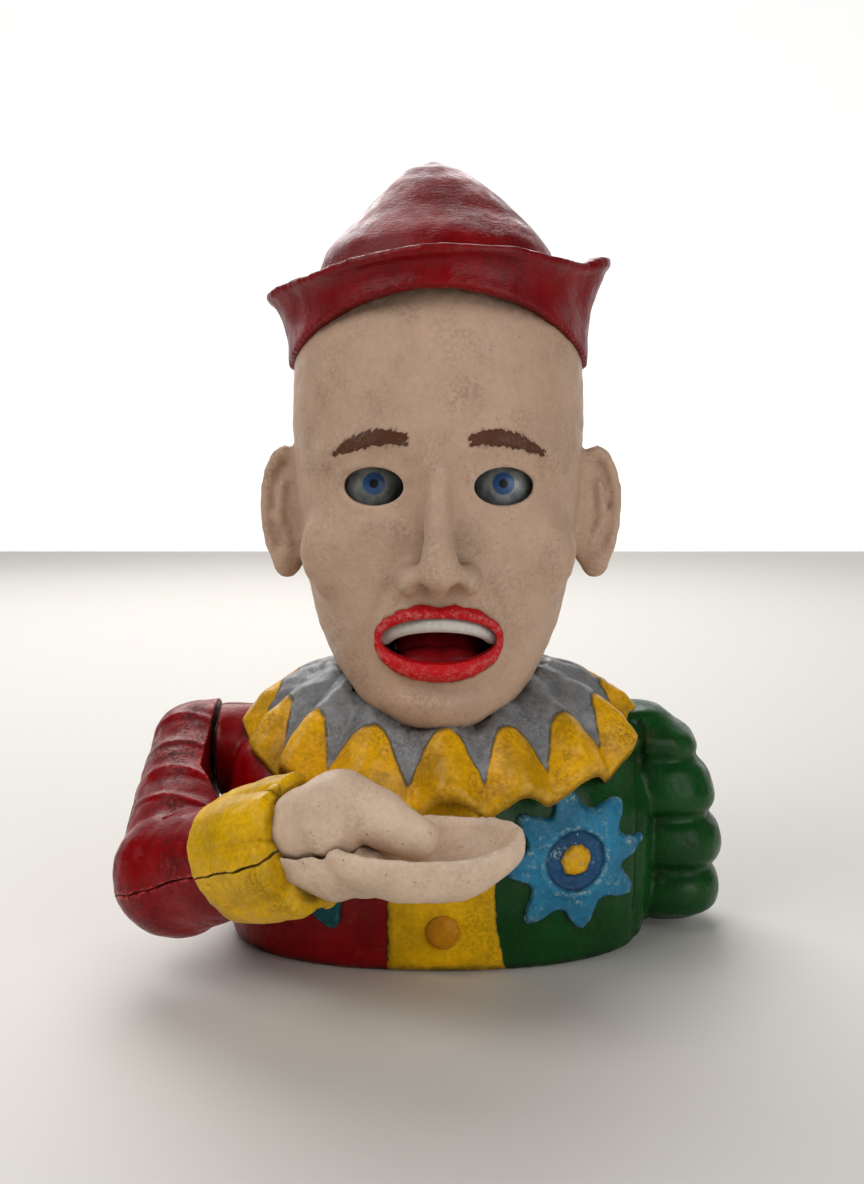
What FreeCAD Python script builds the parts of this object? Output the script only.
"""Painted cast-iron mechanical bank: the bust of a clown in a peaked hat.

A coin is laid in the right hand. Pressing the lever at the back turns the shoulder shaft, which lifts
the hand to the mouth. A link from a crank on the same shaft tips the tongue back and rolls the eyes up.
The coin slides down the tongue into the hollow bust, and comes out through a swivel trap underneath.

Millimetres. +Z up, the clown faces -Y, and +X is the clown's left. The origin is on the table, under the
middle of the bust. Each sub-part is written to parts/NODE.step.
"""

import FreeCAD, Part
import math
import os

V = FreeCAD.Vector
X_AXIS, Y_AXIS, Z_AXIS = V(1, 0, 0), V(0, 1, 0), V(0, 0, 1)
FAR = 200.0  # longer than the bank, for cutting tools
NUDGE = 0.05  # running clearance of pins and shafts, on the radius
PIN_BITE = 0.6  # how far a retaining clip sits in from a pin's end

# The castings
wall = 3.0  # thickness of the iron
parting_y = 5.0  # the front and rear castings meet here
power = 2.35  # squareness of the bust's plan: 2 is an ellipse

# The bust: height, half width, half depth and centre in Y of each level
bust_levels = [
    (0.0, 52.0, 34.5, 1.0),
    (6.0, 53.5, 36.5, 1.0),
    (20.0, 54.5, 38.0, 1.0),
    (34.0, 54.0, 37.5, 1.0),
    (46.0, 51.0, 34.5, 1.0),
    (55.0, 43.0, 29.5, 1.0),
    (62.0, 31.0, 26.0, 0.0),
    (72.0, 27.0, 24.0, -1.0),
]

# The head, from the chin to the crown
chin_z = 57.5
crown_z = 168.0
head_levels = [
    (chin_z, 10.0, 12.0, -26.0),
    (62.0, 19.0, 22.5, -18.0),
    (70.0, 25.0, 31.0, -10.0),
    (80.0, 29.0, 34.5, -6.5),
    (93.0, 32.5, 36.5, -4.5),
    (108.0, 34.5, 37.5, -3.5),
    (124.0, 35.5, 38.0, -3.0),
    (140.0, 35.0, 37.5, -2.5),
    (152.0, 32.0, 34.0, -2.0),
    (160.0, 26.0, 28.0, -1.5),
]
neck_half_width, neck_half_depth = 26.5, 24.0
throat_half_width, throat_half_depth = 23.0, 20.5

# The face, by the thirds and halves of a figure drawing manual
head_height = crown_z - chin_z
face_third = 0.29 * head_height
eye_z = chin_z + head_height / 2
nose_base_z = chin_z + face_third
brow_z = nose_base_z + face_third
mouth_z = nose_base_z - face_third / 3
eye_x = 14.5
eye_hole = (6.8, 4.3)  # half width and half height
mouth_hole = (13.0, 5.2)
ear_x, ear_y = 43.0, 0.0
ear_size = (7.0, (brow_z - nose_base_z) / 2)  # half depth and half height
nose_levels = [
    (nose_base_z - 2.0, 4.0, 5.5, -39.5),
    (nose_base_z + 2.5, 6.8, 8.0, -39.5),
    (nose_base_z + 8.0, 5.6, 7.5, -38.5),
    (brow_z - 5.0, 3.2, 4.0, -37.0),
]

# The hat
hat_tip_z = 190.0
hat_levels = [
    (148.0, 35.5, 38.0, -2.5),
    (157.0, 31.0, 33.0, -2.0),
    (166.0, 24.5, 26.5, -1.0),
    (175.0, 18.5, 20.0, 0.0),
    (183.0, 12.5, 13.5, 0.5),
    (188.0, 7.0, 7.5, 0.8),
]
hat_tip_radius = 1.6
brim_low = (146.0, 36.2, 39.0, -2.5)
brim_high = (164.0, 41.5, 43.5, -1.5)
brim_wall = 3.2

# The ruff
ruff_points = 16
ruff_wave = 2.2
ruff_rim = (46.5, 45.5, -3.0, 47.0)  # half width, half depth, centre Y, centre Z
ruff_slope = 0.15  # the rim's rise towards the back
ruff_top = (67.0, 26.5, 24.5, -1.0)

# The left arm, cast with the bust: height, centre X, half width, half depth
left_arm_levels = [
    (57.0, 49.0, 4.0, 5.0),
    (54.0, 51.0, 10.0, 11.0),
    (47.0, 54.0, 12.0, 14.0),
    (40.0, 56.0, 11.3, 13.2),
    (33.0, 57.5, 13.4, 15.0),
    (26.0, 58.5, 12.4, 14.0),
    (18.0, 59.0, 13.8, 15.5),
    (9.0, 59.5, 13.2, 15.0),
    (3.5, 59.5, 10.5, 12.0),
]
left_arm_y = 3.0
chest_button = (0.0, 11.0, 4.2)  # x, z, radius

# The shoulder shaft and everything that it turns
shaft_y, shaft_z = parting_y, 44.0
shaft_radius = 3.0
lift_angle = 36.0  # travel of the arm, the tongue and the eyes
boss_face_x = -56.0
washer_thick, washer_radius = 0.8, 7.0
side_clear = 0.3  # between moving pieces, side by side
arm_face_x = boss_face_x - washer_thick - side_clear
boss_radius = 12.0
shaft_lug_x, shaft_lug_thick = 34.0, 4.0
square_side = 4.6
square_end_x = arm_face_x - 9.0

# The right arm: centre and radius at the shoulder, elbow and wrist
shoulder = (V(-61.0, shaft_y, shaft_z), 13.0)
elbow = (V(-60.0, -34.0, 24.0), 14.5)
wrist = (V(-24.0, -64.0, 41.0), 9.0)
cuff_from, cuff_to = 0.40, 0.94  # shares of the forearm
cuff_radii = (14.8, 13.8)
joint_step = 0.6  # how far the sleeves stay below the balls of the joints
palm_centre = V(1.0, -68.0, 44.0)
palm_outer = (21.0, 13.5, 16.5)
palm_wall = 3.0
thumb_from, thumb_to, thumb_radius = V(-22.0, -66.0, 46.5), V(-8.5, -67.0, 46.0), 5.0
hand_back = (V(-20.0, -65.5, 45.5), 9.4)
split_low, split_high = (-75.0, 19.5), (-23.0, 43.6)  # x and z of the joint between the arm's halves
split_gap = 0.4
arm_wall = 3.2
rivet_radius = 1.6
rivet_shares = (0.12, 0.86)
arm_screw_radius, arm_screw_head = 1.6, (3.6, 2.2)

# The lever
lever_x, lever_thick, lever_height = 22.0, 5.0, 6.0
lever_rest = 4.0  # degrees above the horizontal
lever_length = 54.0
lever_pad = (8.0, 6.0, 3.0)
slot_clear = 1.1

# The link and its three cranks, which stay parallel
crank_radius = 11.0
crank_rest = lift_angle / 2
crank_x, crank_thick = -13.2, 2.4
link_x, link_thick, link_width = -16.1, 1.6, 4.4
link_pin_radius = 1.2
link_pin_end_x = link_x - link_thick / 2 - 1.4
clip_thick, clip_radius = 0.5, 2.3
link_bend = (9.0, 60.0)  # Y and Z of its bend over the shaft
link_bow = (-6.0, 97.0)  # Y and Z of its bend behind the eyeball
link_clear = 0.8

# The tongue and the eyes
tongue_pivot = (-30.0, 70.0)
tongue_half_width, tongue_length, tongue_thick = 10.0, 20.0, 3.0
tongue_rest = 22.0
tongue_pin_radius = 1.25
tongue_lug_thick = 2.5
eye_axis_y = -24.5
eyeball_radius = 7.6
eye_bar_radius = 1.5
eye_lug_half = 2.0

# Screws
screw_radius, screw_head = 2.0, (4.2, 2.4)
screw_boss_radius = 6.2
thread_depth = 14.0
head_screw_z = 138.0
body_screw_x, body_screw_z = 40.0, 21.0
head_seat_y, body_seat_y = 32.0, 23.5  # where the screws' heads seat at the back
slot_wide, slot_deep = 1.0, 1.0

# The base plate and its coin trap
plate_z, plate_thick, plate_clear = 3.6, 2.4, 0.4
base_screw_at = (42.0, -4.0)
base_post_height, base_post_radius = 9.5, 4.6
base_screw_radius, base_screw_head = 1.6, (3.0, 1.6)
trap_hole_x, trap_hole_radius = -14.0, 12.8
trap_cover_radius, trap_cover_thick = 14.6, 1.5
trap_pivot_x = 3.0
trap_cover_clear = 0.25
trap_rivet_radius, trap_rivet_head = 1.8, 3.6


def oval(z, half_width, half_depth, centre_y, square=2.0, centre_x=0.0, count=20):
    """A closed level curve."""
    points = []
    for i in range(count):
        c, s = math.cos(2 * math.pi * i / count), math.sin(2 * math.pi * i / count)
        x = centre_x + half_width * math.copysign(abs(c) ** (2 / square), c)
        y = centre_y + half_depth * math.copysign(abs(s) ** (2 / square), s)
        points.append(V(x, y, z))
    curve = Part.BSplineCurve()
    curve.interpolate(Points=points, PeriodicFlag=True)
    return Part.Wire([curve.toShape()])


def tower(levels, inset=0.0, square=2.0):
    """A loft through level curves, each taken in by inset."""
    wires = [oval(z, a - inset, b - inset, y, square) for z, a, b, y in levels]
    return Part.makeLoft(wires, True, True)


def fuse(first, *others):
    """One solid of several."""
    return first.multiFuse(list(others)).removeSplitter() if others else first


def rod(start, end, radius, radius_end=None):
    """A round bar or cone between two points."""
    along = end - start
    if radius_end is None or abs(radius_end - radius) < 1e-6:
        return Part.makeCylinder(radius, along.Length, start, along)
    return Part.makeCone(radius, radius_end, along.Length, start, along)


def x_rod(x_from, x_to, y, z, radius):
    """A round bar along X."""
    return rod(V(min(x_from, x_to), y, z), V(max(x_from, x_to), y, z), radius)


def y_rod(x, y_from, y_to, z, radius):
    """A round bar along Y."""
    return rod(V(x, min(y_from, y_to), z), V(x, max(y_from, y_to), z), radius)


def z_rod(x, y, z_from, z_to, radius):
    """A round bar along Z."""
    return rod(V(x, y, min(z_from, z_to)), V(x, y, max(z_from, z_to)), radius)


def block(low, high):
    """A box between two corners."""
    size = [b - a for a, b in zip(low, high)]
    return Part.makeBox(*size, V(*low))


def ball(centre, radius):
    """A sphere."""
    return Part.makeSphere(radius, centre)


def egg(centre, radii):
    """An ellipsoid."""
    scale = FreeCAD.Matrix()
    scale.scale(*radii)
    shape = Part.makeSphere(1.0).transformGeometry(scale)
    shape.translate(centre)
    return shape


def oval_hole(x, z, half_width, half_height, y_from, y_to):
    """An oval punch along Y."""
    centre, wide, high = V(x, y_from, z), V(half_width, 0, 0), V(0, 0, half_height)
    if half_width > half_height:
        ellipse = Part.Ellipse(centre + wide, centre + high, centre)
    else:
        ellipse = Part.Ellipse(centre + high, centre + wide, centre)
    return Part.Face(Part.Wire([ellipse.toShape()])).extrude(V(0, y_to - y_from, 0))


def polar(length, angle, y=0.0, z=0.0):
    """Y and Z of a point at an angle above +Y, as seen from -X."""
    a = math.radians(angle)
    return y + length * math.cos(a), z + length * math.sin(a)


def crank_end(pivot):
    """Where a crank on this pivot holds the link at rest."""
    return polar(crank_radius, crank_rest, *pivot)


shaft_axis = (shaft_y, shaft_z)
eye_axis = (eye_axis_y, eye_z)
link_at_rest = polar(crank_radius, crank_rest)
link_at_shaft, link_at_tongue, link_at_eyes = map(crank_end, (shaft_axis, tongue_pivot, eye_axis))
link_path = [link_at_shaft, link_bend, link_at_tongue, link_bow, link_at_eyes]


def plane_bar(path, x_from, x_to, width):
    """A flat bar of this width along a path of (y, z) points, with round ends and bends."""
    pieces = [x_rod(x_from, x_to, y, z, width / 2) for y, z in path]
    for (y0, z0), (y1, z1) in zip(path, path[1:]):
        length, angle = math.hypot(y1 - y0, z1 - z0), math.degrees(math.atan2(z1 - z0, y1 - y0))
        bar = block((x_from, 0, -width / 2), (x_to, length, width / 2))
        bar.rotate(V(0, 0, 0), X_AXIS, angle)
        bar.translate(V(0, y0, z0))
        pieces.append(bar)
    return fuse(*pieces)


def screw(head_at, direction, length, radius, head):
    """A slotted cheese-head screw. head_at is the underside of its head."""
    d = V(direction)
    head_radius, head_thick = head
    body = fuse(rod(head_at, head_at + d * length, radius), rod(head_at - d * head_thick, head_at, head_radius))
    side = V(0, 0, 1) if abs(d.z) < 0.5 else V(1, 0, 0)
    across = d.cross(side)
    slot = Part.makeBox(2 * head_radius + 2, slot_wide, slot_deep + 1)
    slot.translate(V(-head_radius - 1, -slot_wide / 2, 0))
    turn = FreeCAD.Matrix(
        side.x, across.x, -d.x, 0, side.y, across.y, -d.y, 0, side.z, across.z, -d.z, 0, 0, 0, 0, 1
    )
    slot = slot.transformGeometry(turn)
    slot.translate(head_at - d * (head_thick - slot_deep))
    return body.cut(slot)


# ---------------------------------------------------------------- castings


def ruff():
    """The pleated collar, solid down to the plane of its rim."""
    rim_a, rim_b, rim_y, rim_z = ruff_rim
    top_z, top_a, top_b, top_y = ruff_top

    def ring(share):
        points = []
        count = ruff_points * 4
        for i in range(count):
            t = 2 * math.pi * i / count
            wave = ruff_wave * share * math.cos(ruff_points * t)
            a = top_a + (rim_a - top_a) * share + wave
            b = top_b + (rim_b - top_b) * share + wave
            y = top_y + (rim_y - top_y) * share + b * math.sin(t)
            z = top_z + (rim_z - top_z) * share + ruff_slope * share * (y - rim_y)
            points.append(V(a * math.cos(t), y, z))
        curve = Part.BSplineCurve()
        curve.interpolate(Points=points, PeriodicFlag=True)
        return Part.Wire([curve.toShape()])

    return Part.makeLoft([ring(0.0), ring(1.0)], True, True)


def left_arm(inset=0.0):
    """The left arm, as puffed cloth."""
    levels = left_arm_levels[1:-1] if inset else left_arm_levels
    wires = [oval(z, a - inset, b - inset, left_arm_y, 2.0, x) for z, x, a, b in levels]
    return Part.makeLoft(wires, True, True)


def hat_crown(inset=0.0):
    """The peak of the hat, with a rounded tip."""
    tip = [(hat_tip_z, hat_tip_radius + inset, hat_tip_radius + inset, 1.0)]
    levels = hat_levels + tip if not inset else hat_levels[:-1]
    return tower(levels, inset)


def hat_brim():
    """The turned-up brim."""
    outside = tower([brim_low, brim_high])
    z0, a0, b0, y0 = brim_low
    z1, a1, b1, y1 = brim_high
    rise = wall + 4.0
    hollow = tower([(z0 + rise, a0 - brim_wall, b0 - brim_wall, y0), (z1 + 1, a1 - brim_wall, b1 - brim_wall, y1)])
    return outside.cut(hollow)


def ears():
    """Both ears, as one oval slab through the head."""
    half_depth, half_height = ear_size
    slab = oval_hole(ear_y, (brow_z + nose_base_z) / 2, half_depth, half_height, -ear_x, ear_x)
    slab.rotate(V(0, 0, 0), Z_AXIS, 90)
    return slab


def outer_form():
    """The outside of the bust and head, as one solid."""
    neck = tower([(60.0, neck_half_width, neck_half_depth, -1.0), (78.0, neck_half_width, neck_half_depth, -1.0)])
    nose = tower(nose_levels)
    boss = x_rod(boss_face_x, -38.0, *shaft_axis, boss_radius)
    x, z, radius = chest_button
    button = ball(V(x, bust_levels[1][3] - bust_levels[1][2] + 0.6, z), radius)
    return fuse(
        tower(bust_levels, 0.0, power), neck, tower(head_levels), hat_crown(), hat_brim(), ruff(), left_arm(),
        nose, ears(), boss, button,
    )


def hollow_form():
    """The inside of the bust and head, which the coins fall through."""
    low = (-1.0,) + tuple(bust_levels[0][1:])
    bust = tower([low] + bust_levels[1:-2], wall, power)
    throat = tower(
        [(46.0, throat_half_width, throat_half_depth, 0.0), (80.0, throat_half_width, throat_half_depth, -1.0)]
    )
    head = tower([(z + wall * (z < 60), a, b, y) for z, a, b, y in head_levels], wall)
    return fuse(bust, throat, head, hat_crown(wall), left_arm(wall))


def lugs(outer):
    """Webs inside the castings that hold the shaft, the tongue pin, the eye bar and the screws."""
    shaft_lug = block(
        (shaft_lug_x, -FAR, shaft_z - 7), (shaft_lug_x + shaft_lug_thick, FAR, shaft_z + 7)
    )
    inner_x = tongue_half_width + 0.8
    ty, tz = tongue_pivot
    tongue_lugs = []
    for side in (-1, 1):
        x0, x1 = sorted((side * inner_x, side * (inner_x + tongue_lug_thick)))
        ear = x_rod(x0, x1, ty, tz, 3.6)
        tongue_lugs += [ear, block((x0, ty - 12, tz - 3.6), (x1, ty, tz + 2.4))]
    eye_lug = fuse(
        x_rod(-eye_lug_half, eye_lug_half, *eye_axis, 3.4),
        block((-eye_lug_half, eye_axis_y - 20, eye_z - 3.4), (eye_lug_half, eye_axis_y, eye_z + 3.4)),
    )
    bosses = [y_rod(0, -FAR / 2, FAR / 2, head_screw_z, screw_boss_radius)]
    posts = []
    post_x, post_y = base_screw_at
    post_low = plate_z + plate_thick
    for side in (-1, 1):
        bosses.append(y_rod(side * body_screw_x, -FAR / 2, FAR / 2, body_screw_z, screw_boss_radius))
        posts.append(z_rod(side * post_x, post_y, post_low, post_low + base_post_height, base_post_radius))
        x0, x1 = sorted((side * post_x, side * 60.0))
        posts.append(block((x0, post_y - 3, post_low), (x1, post_y + 3, post_low + base_post_height)))
    return fuse(shaft_lug, *tongue_lugs, eye_lug, *bosses, *posts).common(outer)


def lever_slot():
    """The opening in the back that the lever moves in: a sector with clearance."""
    half = lever_height / 2 + slot_clear
    top, bottom = math.radians(lever_rest), math.radians(lever_rest - lift_angle)
    reach = 70.0
    corners = [
        (shaft_y, shaft_z + half),
        (shaft_y + reach * math.cos(top), shaft_z + reach * math.sin(top) + half),
        (shaft_y + reach * math.cos(bottom), shaft_z + reach * math.sin(bottom) - half),
        (shaft_y, shaft_z - half),
    ]
    x0 = lever_x - lever_thick / 2 - slot_clear
    points = [V(x0, y, z) for y, z in corners]
    face = Part.Face(Part.makePolygon(points + points[:1]))
    return face.extrude(V(lever_thick + 2 * slot_clear, 0, 0))


def link_way():
    """The room that the castings leave for the link and its pins."""
    x0, x1 = link_x - link_thick / 2 - link_clear, link_x + link_thick / 2 + link_clear
    spaces = []
    for share in (0.0, 0.33, 0.67, 1.0):
        now = polar(crank_radius, crank_rest - share * lift_angle)
        shift_y, shift_z = now[0] - link_at_rest[0], now[1] - link_at_rest[1]
        path = [(y + shift_y, z + shift_z) for y, z in link_path]
        spaces.append(plane_bar(path[:-1], x0, x1, link_width + 2 * link_clear))
        spaces.append(x_rod(link_pin_end_x - link_clear, x1, *path[2], clip_radius + link_clear))
    return fuse(*spaces)


def castings():
    """The front and rear castings, which carry everything else."""
    outer = outer_form()
    shell = fuse(outer.cut(hollow_form()), lugs(outer))
    cuts = [
        x_rod(boss_face_x - 5, shaft_lug_x + shaft_lug_thick + 1, *shaft_axis, shaft_radius + NUDGE),
        x_rod(-FAR, FAR, *tongue_pivot, tongue_pin_radius + NUDGE).common(
            block((-tongue_half_width - 4.5, -60, 0), (tongue_half_width + 4.5, 60, 100))
        ),
        x_rod(-eye_lug_half - 1, eye_lug_half + 1, *eye_axis, eye_bar_radius + NUDGE),
        oval_hole(0, mouth_z, *mouth_hole, -60, tongue_pivot[0] + 2),
        lever_slot(),
        link_way(),
    ]
    cuts += [oval_hole(side * eye_x, eye_z, *eye_hole, -60, eye_axis_y) for side in (-1, 1)]
    seats = [(0, head_seat_y, head_screw_z)]
    seats += [(side * body_screw_x, body_seat_y, body_screw_z) for side in (-1, 1)]
    for x, seat_y, z in seats:
        cuts.append(y_rod(x, parting_y - thread_depth, FAR / 2, z, screw_radius + NUDGE))
        cuts.append(y_rod(x, seat_y, FAR / 2, z, screw_head[0] + 0.3))
    for side in (-1, 1):
        x, y = side * base_screw_at[0], base_screw_at[1]
        cuts.append(z_rod(x, y, 0, plate_z + base_post_height, base_screw_radius + NUDGE))
    shell = shell.cut(fuse(*cuts))
    front = shell.common(block((-FAR, -FAR, -1), (FAR, parting_y, FAR + 20)))
    rear = shell.common(block((-FAR, parting_y, -1), (FAR, FAR, FAR + 20)))
    return biggest(front), biggest(rear)


def biggest(shape):
    """The one real solid of a cut, without slivers."""
    return max(shape.Solids, key=lambda s: s.Volume)


# ---------------------------------------------------------------- the arm


def along_forearm(share):
    """A point on the forearm's centreline."""
    return elbow[0] + (wrist[0] - elbow[0]) * share


def arm_form():
    """Shoulder, elbow and forearm, with the cuff."""
    (s, rs), (e, re), (w, rw) = shoulder, elbow, wrist
    cuff = rod(along_forearm(cuff_from), along_forearm(cuff_to), *cuff_radii)
    sleeve = rod(s, e, rs - joint_step, re - 2 * joint_step)
    forearm = rod(e, w, re - joint_step, rw - joint_step)
    return fuse(ball(s, rs), sleeve, ball(e, re), forearm, cuff, ball(w, rw))


def arm_hollows():
    """The hollows of the elbow and of the forearm."""
    (e, re), (w, rw) = elbow, wrist
    return [ball(e, re - arm_wall - 1), rod(e, along_forearm(0.9), re - arm_wall - 2, rw - arm_wall)]


def body_side():
    """The space that the arm leaves for the bust: its inner face is flat."""
    outline = [(arm_face_x, 40), (arm_face_x, -17), (-42, -39), (0, -39), (0, 40)]
    points = [V(x, y, -20) for x, y in outline]
    return Part.Face(Part.makePolygon(points + points[:1])).extrude(V(0, 0, 120))


def split_half(above):
    """All the space above, or below, the joint between the arm's halves."""
    (x0, z0), (x1, z1) = split_low, split_high
    slope = (z1 - z0) / (x1 - x0)
    shift = split_gap / 2 if above else -split_gap / 2
    ends = [(x, z0 + slope * (x - x0) + shift) for x in (-120.0, 60.0)]
    far_z = 160.0 if above else -120.0
    points = [V(x, -110, z) for x, z in ends] + [V(60, -110, far_z), V(-120, -110, far_z)]
    return Part.Face(Part.makePolygon(points + points[:1])).extrude(V(0, 150, 0))


def split_normal():
    """The direction across the joint between the arm's halves."""
    (x0, z0), (x1, z1) = split_low, split_high
    return V(-(z1 - z0), 0, x1 - x0).normalize()


def rivet_axis(share):
    """Two far points on a rivet's axis."""
    n = split_normal()
    return along_forearm(share) - n * 30, along_forearm(share) + n * 30


def palm():
    """The cupped hand: a bowl that holds a coin."""
    bowl = egg(palm_centre, palm_outer)
    bowl = bowl.cut(block((-FAR, -FAR, palm_centre.z), (FAR, FAR, FAR)))
    inner = egg(palm_centre + V(0, 0, 0.5), [r - palm_wall for r in palm_outer])
    return bowl, inner


def thumb():
    """The thumb and the back of the hand."""
    centre, radius = hand_back
    finger = rod(thumb_from, thumb_to, thumb_radius - joint_step / 2)
    return fuse(ball(centre, radius), finger, ball(thumb_to, thumb_radius))


def right_arm():
    """The arm's two castings and its flush rivets."""
    bowl, bowl_space = palm()
    outside = fuse(arm_form(), bowl).cut(body_side())
    # The bowl stays open, apart from where the wrist joins it.
    outside = outside.cut(bowl_space.common(block((wrist[0].x + 8, -FAR, 0), (FAR, FAR, FAR))))
    grip = thumb().cut(bowl_rim_space(bowl_space))
    pillars = [rod(*rivet_axis(share), 3.6) for share in rivet_shares]
    holes = [rod(*rivet_axis(share), rivet_radius + 0.02) for share in rivet_shares]
    halves = []
    for above in (True, False):
        half = outside.common(split_half(above))
        for space in arm_hollows():
            half = half.cut(space)
        pillar_parts = [pillar.common(outside).common(split_half(above)) for pillar in pillars]
        half = fuse(half, grip, *pillar_parts) if above else fuse(half, *pillar_parts).cut(grip)
        for hole in holes:
            half = half.cut(hole)
        halves.append(half)
    upper, lower = halves
    rivets = [rod(*rivet_axis(share), rivet_radius).common(outside) for share in rivet_shares]
    return biggest(upper.cut(arm_sockets())), biggest(lower), rivets


def bowl_rim_space(bowl_space):
    """Room over the bowl that the thumb keeps out of."""
    return bowl_space.common(block((thumb_to.x + 2, -FAR, 0), (FAR, FAR, FAR)))


def arm_sockets():
    """The square socket for the shaft, and the hole and counterbore for the arm's screw."""
    half = square_side / 2 + NUDGE
    square = block(
        (square_end_x - 0.5, shaft_y - half, shaft_z - half), (arm_face_x + 1, shaft_y + half, shaft_z + half)
    )
    hole = x_rod(-90, square_end_x, *shaft_axis, arm_screw_radius + NUDGE)
    counterbore = x_rod(-90, square_end_x - 3.0, *shaft_axis, arm_screw_head[0] + 0.3)
    return fuse(square, hole, counterbore)


def arm_screw():
    """Holds the arm on the end of the shaft."""
    seat = V(square_end_x - 3.0, *shaft_axis)
    return screw(seat, X_AXIS, 10.0, arm_screw_radius, arm_screw_head)


# ---------------------------------------------------------------- what turns on the shaft


def shoulder_shaft():
    """The round shaft, squared where it enters the arm."""
    shaft = x_rod(arm_face_x, shaft_lug_x + shaft_lug_thick, *shaft_axis, shaft_radius)
    half = square_side / 2
    square = block(
        (square_end_x, shaft_y - half, shaft_z - half), (arm_face_x, shaft_y + half, shaft_z + half)
    )
    thread = x_rod(square_end_x - 1, square_end_x + 8, *shaft_axis, arm_screw_radius + NUDGE)
    pins = fuse(*[taper_hole(x) for x in (crank_x, lever_x)])
    return fuse(shaft, square).cut(thread).cut(pins)


def taper_hole(x, grow=0.01):
    """The cross hole of a hub and shaft."""
    return z_rod(x, shaft_y, shaft_z - 20, shaft_z + 20, 0.9 + grow)


def taper_pin(x, hub_radius):
    """A pin through a hub and the shaft."""
    return z_rod(x, shaft_y, shaft_z - hub_radius + 0.3, shaft_z + hub_radius - 0.3, 0.9)


crank_hub, lever_hub = 5.6, 6.6


def crank():
    """The crank on the shaft that moves the link, with its pin."""
    x0, x1 = crank_x - crank_thick / 2, crank_x + crank_thick / 2
    web = plane_bar([shaft_axis, link_at_shaft], x0, x1, 5.0)
    hub = x_rod(x0, x1 + 1.5, *shaft_axis, crank_hub)
    pin = x_rod(link_pin_end_x, x0 + 0.5, *link_at_shaft, link_pin_radius)
    bore = x_rod(x0 - 1, x1 + 3, *shaft_axis, shaft_radius + 0.01)
    return fuse(web, hub, pin).cut(bore).cut(taper_hole(crank_x))


def clip(pivot):
    """The ring that keeps the link on a pin."""
    x1 = link_pin_end_x + PIN_BITE + clip_thick
    ring = x_rod(x1 - clip_thick, x1, *pivot, clip_radius)
    return ring.cut(x_rod(x1 - 2, x1 + 1, *pivot, link_pin_radius + 0.01))


def lever():
    """The thumb lever: a hub, a bar that leaves through the slot at the back, and a pad."""
    x0, x1 = lever_x - lever_thick / 2, lever_x + lever_thick / 2
    end = polar(lever_length, lever_rest, *shaft_axis)
    bar = plane_bar([shaft_axis, end], x0, x1, lever_height)
    pad = egg(V(0, 0, 0), lever_pad)
    pad.rotate(V(0, 0, 0), X_AXIS, lever_rest)
    pad.translate(V(lever_x, end[0], end[1] + 1.5))
    hub = x_rod(x0 - 1, x1 + 1, *shaft_axis, lever_hub)
    bore = x_rod(x0 - 2, x1 + 2, *shaft_axis, shaft_radius + 0.01)
    return fuse(bar, pad, hub).cut(bore).cut(taper_hole(lever_x))


def link_bar():
    """The flat link that joins the shaft's crank, the tongue and the eyes."""
    x0, x1 = link_x - link_thick / 2, link_x + link_thick / 2
    bar = plane_bar(link_path, x0, x1, link_width)
    for pivot in (link_at_shaft, link_at_tongue, link_at_eyes):
        bar = bar.cut(x_rod(x0 - 1, x1 + 1, *pivot, link_pin_radius + NUDGE))
    return bar


# ---------------------------------------------------------------- tongue and eyes


def tongue():
    """The hinged tongue, with the pin that the link holds."""
    half = tongue_half_width
    hub = x_rod(-half, half, *tongue_pivot, 3.2)
    blade = block((-half, 0, -tongue_thick / 2), (half, tongue_length, tongue_thick / 2))
    tip = z_rod(0, 0, -tongue_thick / 2, tongue_thick / 2, half)
    tip.translate(V(0, tongue_length - 6, 0))
    blade = blade.cut(block((-half, tongue_length - 6, -5), (half, tongue_length + 20, 5)))
    blade = fuse(blade, tip.common(block((-half, 0, -5), (half, 60, 5))))
    blade.rotate(V(0, 0, 0), X_AXIS, tongue_rest)
    blade.translate(V(0, *tongue_pivot))
    pin = x_rod(link_pin_end_x, -half + 3, *link_at_tongue, link_pin_radius)
    bore = x_rod(-half - 1, half + 1, *tongue_pivot, tongue_pin_radius + NUDGE)
    return fuse(hub, blade, pin).cut(bore)


def tongue_pin():
    """The fixed pin that the tongue turns on."""
    end = tongue_half_width + 0.8 + tongue_lug_thick
    return x_rod(-end, end, *tongue_pivot, tongue_pin_radius)


def eye_bar():
    """The axle of the eyes, with its crank and pin."""
    axle = x_rod(-eye_x, eye_x, *eye_axis, eye_bar_radius)
    x1 = -eye_lug_half - 0.4
    web = plane_bar([eye_axis, link_at_eyes], x1 - 2.0, x1, 3.6)
    pin = x_rod(link_pin_end_x, x1, *link_at_eyes, link_pin_radius)
    return fuse(axle, web, pin)


def eyeball(side):
    """One eyeball, pressed on the end of the axle."""
    sphere = ball(V(side * eye_x, *eye_axis), eyeball_radius)
    sphere = sphere.cut(x_rod(side * eye_x, side * (eye_x - 20), *eye_axis, eye_bar_radius + 0.01))
    return sphere


# ---------------------------------------------------------------- base


def base_plate():
    """The plate that closes the bottom, with the coin hole."""
    z, a, b, y = bust_levels[0]
    inset = wall + plate_clear
    wires = [oval(h, a - inset, b - inset, y, power) for h in (plate_z, plate_z + plate_thick)]
    plate = Part.makeLoft(wires, True, True)
    plate = plate.cut(z_rod(trap_hole_x, 0, 0, 20, trap_hole_radius))
    plate = plate.cut(z_rod(trap_pivot_x, 0, 0, 20, trap_rivet_radius + NUDGE))
    for side in (-1, 1):
        plate = plate.cut(z_rod(side * base_screw_at[0], base_screw_at[1], 0, 20, base_screw_radius + 0.2))
    return plate


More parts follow.
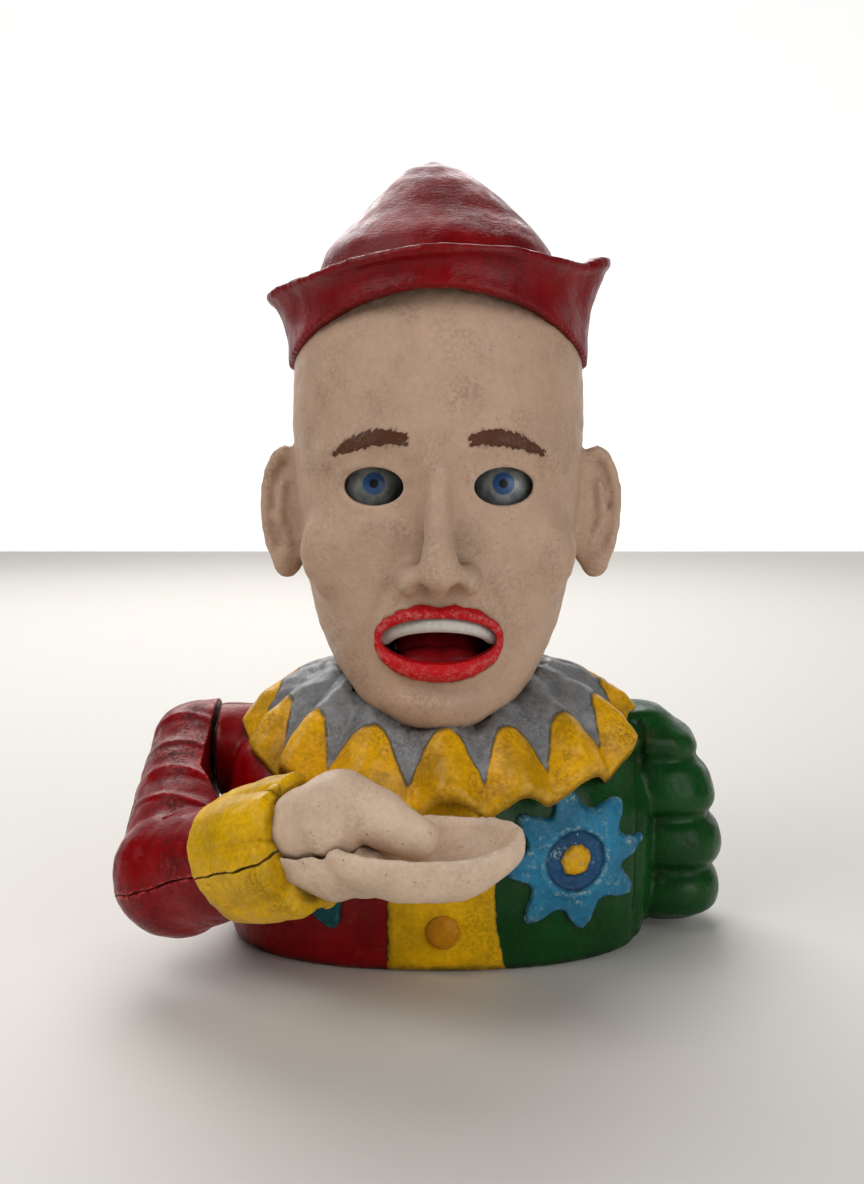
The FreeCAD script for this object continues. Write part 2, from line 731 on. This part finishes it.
def base_screws():
    """The two screws that hold the base plate."""
    seats = [V(side * base_screw_at[0], base_screw_at[1], plate_z) for side in (-1, 1)]
    length = base_post_height - 0.5
    return [screw(seat, Z_AXIS, length, base_screw_radius, base_screw_head) for seat in seats]


def trap_cover():
    """The swivel cover under the coin hole, with an ear round its rivet."""
    top = plate_z - trap_cover_clear
    low = top - trap_cover_thick
    disc = z_rod(trap_hole_x, 0, low, top, trap_cover_radius)
    ear = z_rod(trap_pivot_x, 0, low, top, 4.6)
    neck = block((trap_hole_x + 6, -4.6, low), (trap_pivot_x, 4.6, top))
    lift = z_rod(trap_hole_x - 8, 0, low - 0.9, low + 0.2, 2.2)
    cover = fuse(disc, ear, neck, lift)
    return cover.cut(z_rod(trap_pivot_x, 0, 0, 20, trap_rivet_radius + NUDGE))


def trap_rivet():
    """The rivet that the cover turns on."""
    low = plate_z - trap_cover_clear - trap_cover_thick - 0.1
    high = plate_z + plate_thick
    shank = z_rod(trap_pivot_x, 0, low, high, trap_rivet_radius)
    heads = [
        z_rod(trap_pivot_x, 0, low - 0.7, low, trap_rivet_head),
        z_rod(trap_pivot_x, 0, high, high + 0.9, trap_rivet_head),
    ]
    return fuse(shank, *heads)


def head_screw():
    """The screw through the back of the head."""
    length = head_seat_y - parting_y + thread_depth - 1
    return screw(V(0, head_seat_y, head_screw_z), -Y_AXIS, length, screw_radius, screw_head)


def body_screws():
    """The two screws low in the back."""
    length = body_seat_y - parting_y + thread_depth - 1
    seats = [V(side * body_screw_x, body_seat_y, body_screw_z) for side in (-1, 1)]
    return [screw(seat, -Y_AXIS, length, screw_radius, screw_head) for seat in seats]


def shoulder_washer():
    """The steel washer between the bust and the arm."""
    washer = x_rod(arm_face_x, arm_face_x + washer_thick, *shaft_axis, washer_radius)
    return washer.cut(x_rod(-90, 0, *shaft_axis, shaft_radius + NUDGE))


def write(name, shape):
    """Writes one sub-part, a solid or a group of solids."""
    shape = Part.makeCompound(shape) if isinstance(shape, list) else shape
    bad = [s for s in shape.Solids if not s.isValid() or s.Volume <= 0]
    print(f"{name}: {len(shape.Solids)} solid(s), {shape.Volume / 1000:.2f} cm3{', NOT VALID' if bad else ''}")
    shape.exportStep(os.path.join("parts", name + ".step"))


def main():
    os.makedirs("parts", exist_ok=True)
    front, rear = castings()
    upper, lower, rivets = right_arm()
    parts = {
        "front_casting": front,
        "rear_casting": rear,
        "base_plate": base_plate(),
        "base_screws": base_screws(),
        "head_screw": head_screw(),
        "body_screws": body_screws(),
        "trap_cover": trap_cover(),
        "trap_rivet": trap_rivet(),
        "tongue": tongue(),
        "tongue_pin": tongue_pin(),
        "tongue_clip": clip(link_at_tongue),
        "eye_bar": eye_bar(),
        "eyeball_right": eyeball(-1),
        "eyeball_left": eyeball(1),
        "eye_clip": clip(link_at_eyes),
        "link_bar": link_bar(),
        "shoulder_shaft": shoulder_shaft(),
        "crank": crank(),
        "crank_taper_pin": taper_pin(crank_x, crank_hub),
        "crank_clip": clip(link_at_shaft),
        "lever": lever(),
        "lever_taper_pin": taper_pin(lever_x, lever_hub),
        "arm_upper_casting": upper,
        "arm_lower_casting": lower,
        "arm_rivets": rivets,
        "arm_screw": arm_screw(),
        "shoulder_washer": shoulder_washer(),
    }
    for name, shape in parts.items():
        write(name, shape)


main()
